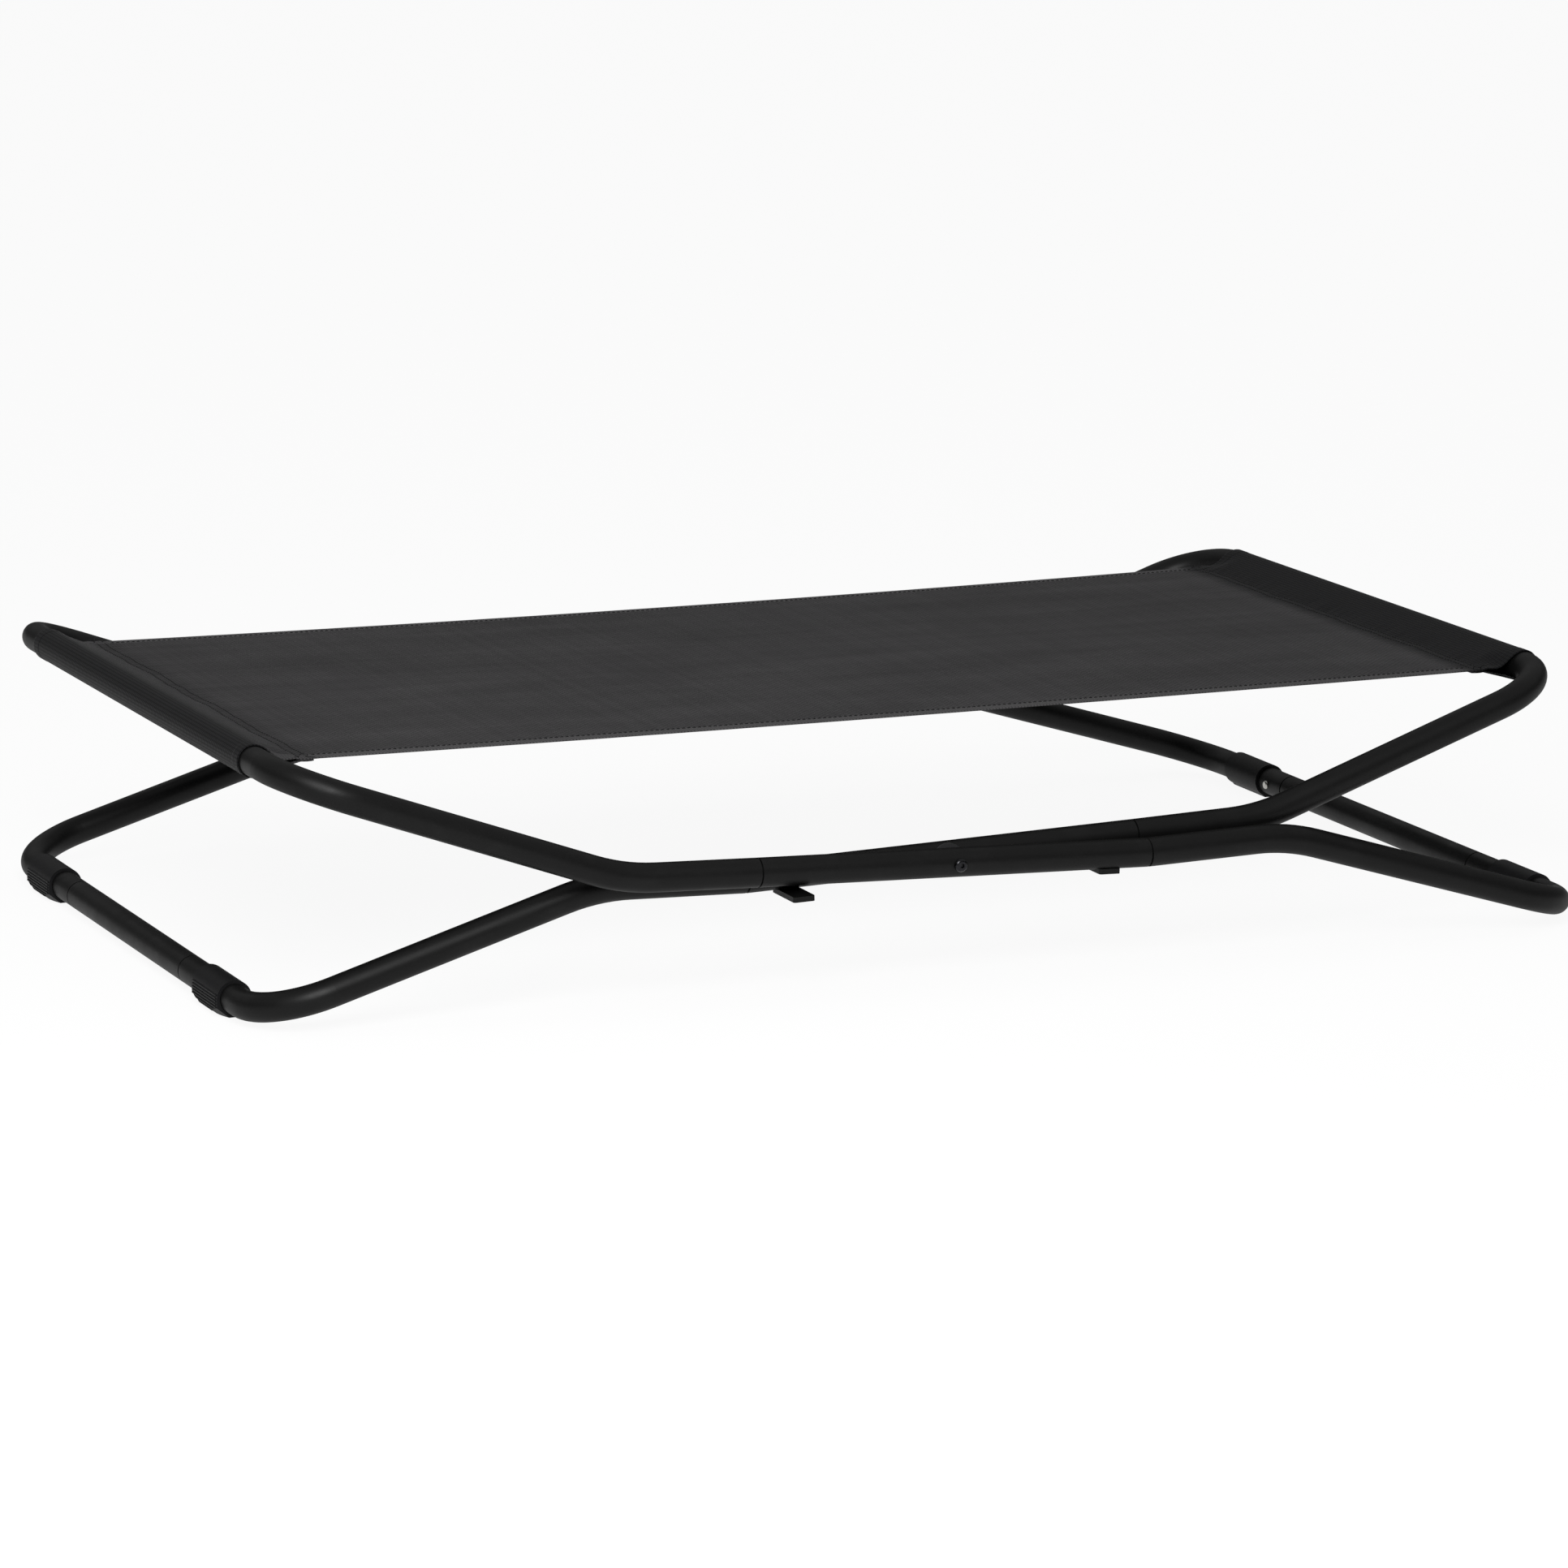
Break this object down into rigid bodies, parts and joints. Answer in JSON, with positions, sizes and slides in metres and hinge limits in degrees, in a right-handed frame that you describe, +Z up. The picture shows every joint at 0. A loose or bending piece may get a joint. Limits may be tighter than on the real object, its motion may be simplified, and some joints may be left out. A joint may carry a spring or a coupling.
{
  "type": "dog bed",
  "caption": "Raised folding dog bed: crossing frames of bent round tube on ribbed foot collars, pivoted at the sides, with a taut mesh sling sewn round the top bars.",
  "frame": {"origin": "on the floor under the middle of the bed, below the pivot", "axes": "+X along the bed towards the inner frame's top bar, +Y across it, +Z up"},
  "size_m": [1.0854, 0.6864, 0.2033],
  "materials": {
    "tube": "fine-grained satin black powder coat on steel tube",
    "tab": "satin black powder coat on flat steel",
    "joiner": "moulded black nylon",
    "foot": "moulded black plastic, ribbed outside",
    "screw": "bright zinc plate",
    "bolt": "black oxide bolt head",
    "washer": "black nylon spacer",
    "nut": "zinc plate",
    "mesh": "woven mesh of coated yarn, dark grey",
    "thread": "black polyester thread"
  },
  "bodies": {
    "outer_frame": {"left_sleeve": "mesh", "left_stitching": "thread", "outer_bar_plugs": "joiner", "outer_foot_far": "foot", "outer_foot_near": "foot", "outer_low_bar": "tube", "outer_low_leg_far": "tube", "outer_low_leg_near": "tube", "outer_low_screws": "screw", "outer_rail_far": "tube", "outer_rail_near": "tube", "outer_rail_plugs": "joiner", "outer_stop_tab_far": "tab", "outer_stop_tab_near": "tab", "outer_top_bar": "tube", "outer_top_leg_far": "tube", "outer_top_leg_near": "tube", "pivot_bolt_far": "bolt", "pivot_bolt_near": "bolt", "pivot_nut_far": "nut", "pivot_nut_near": "nut", "pivot_washer_far": "washer", "pivot_washer_near": "washer", "sling_sheet": "mesh"},
    "inner_frame": {"inner_bar_plugs": "joiner", "inner_foot_far": "foot", "inner_foot_near": "foot", "inner_low_bar": "tube", "inner_low_leg_far": "tube", "inner_low_leg_near": "tube", "inner_low_screws": "screw", "inner_rail_far": "tube", "inner_rail_near": "tube", "inner_rail_plugs": "joiner", "inner_stop_tab_far": "tab", "inner_stop_tab_near": "tab", "inner_top_bar": "tube", "inner_top_leg_far": "tube", "inner_top_leg_near": "tube", "right_sleeve": "mesh", "right_stitching": "thread"}
  },
  "joints": [
    {"name": "fold", "type": "hinge", "parent": "outer_frame", "child": "inner_frame", "pos_m": [0, 0, 0.0921], "axis": [0, -1, 0], "range_deg": [0, 155], "deforming": ["sling_sheet"]}
  ]
}
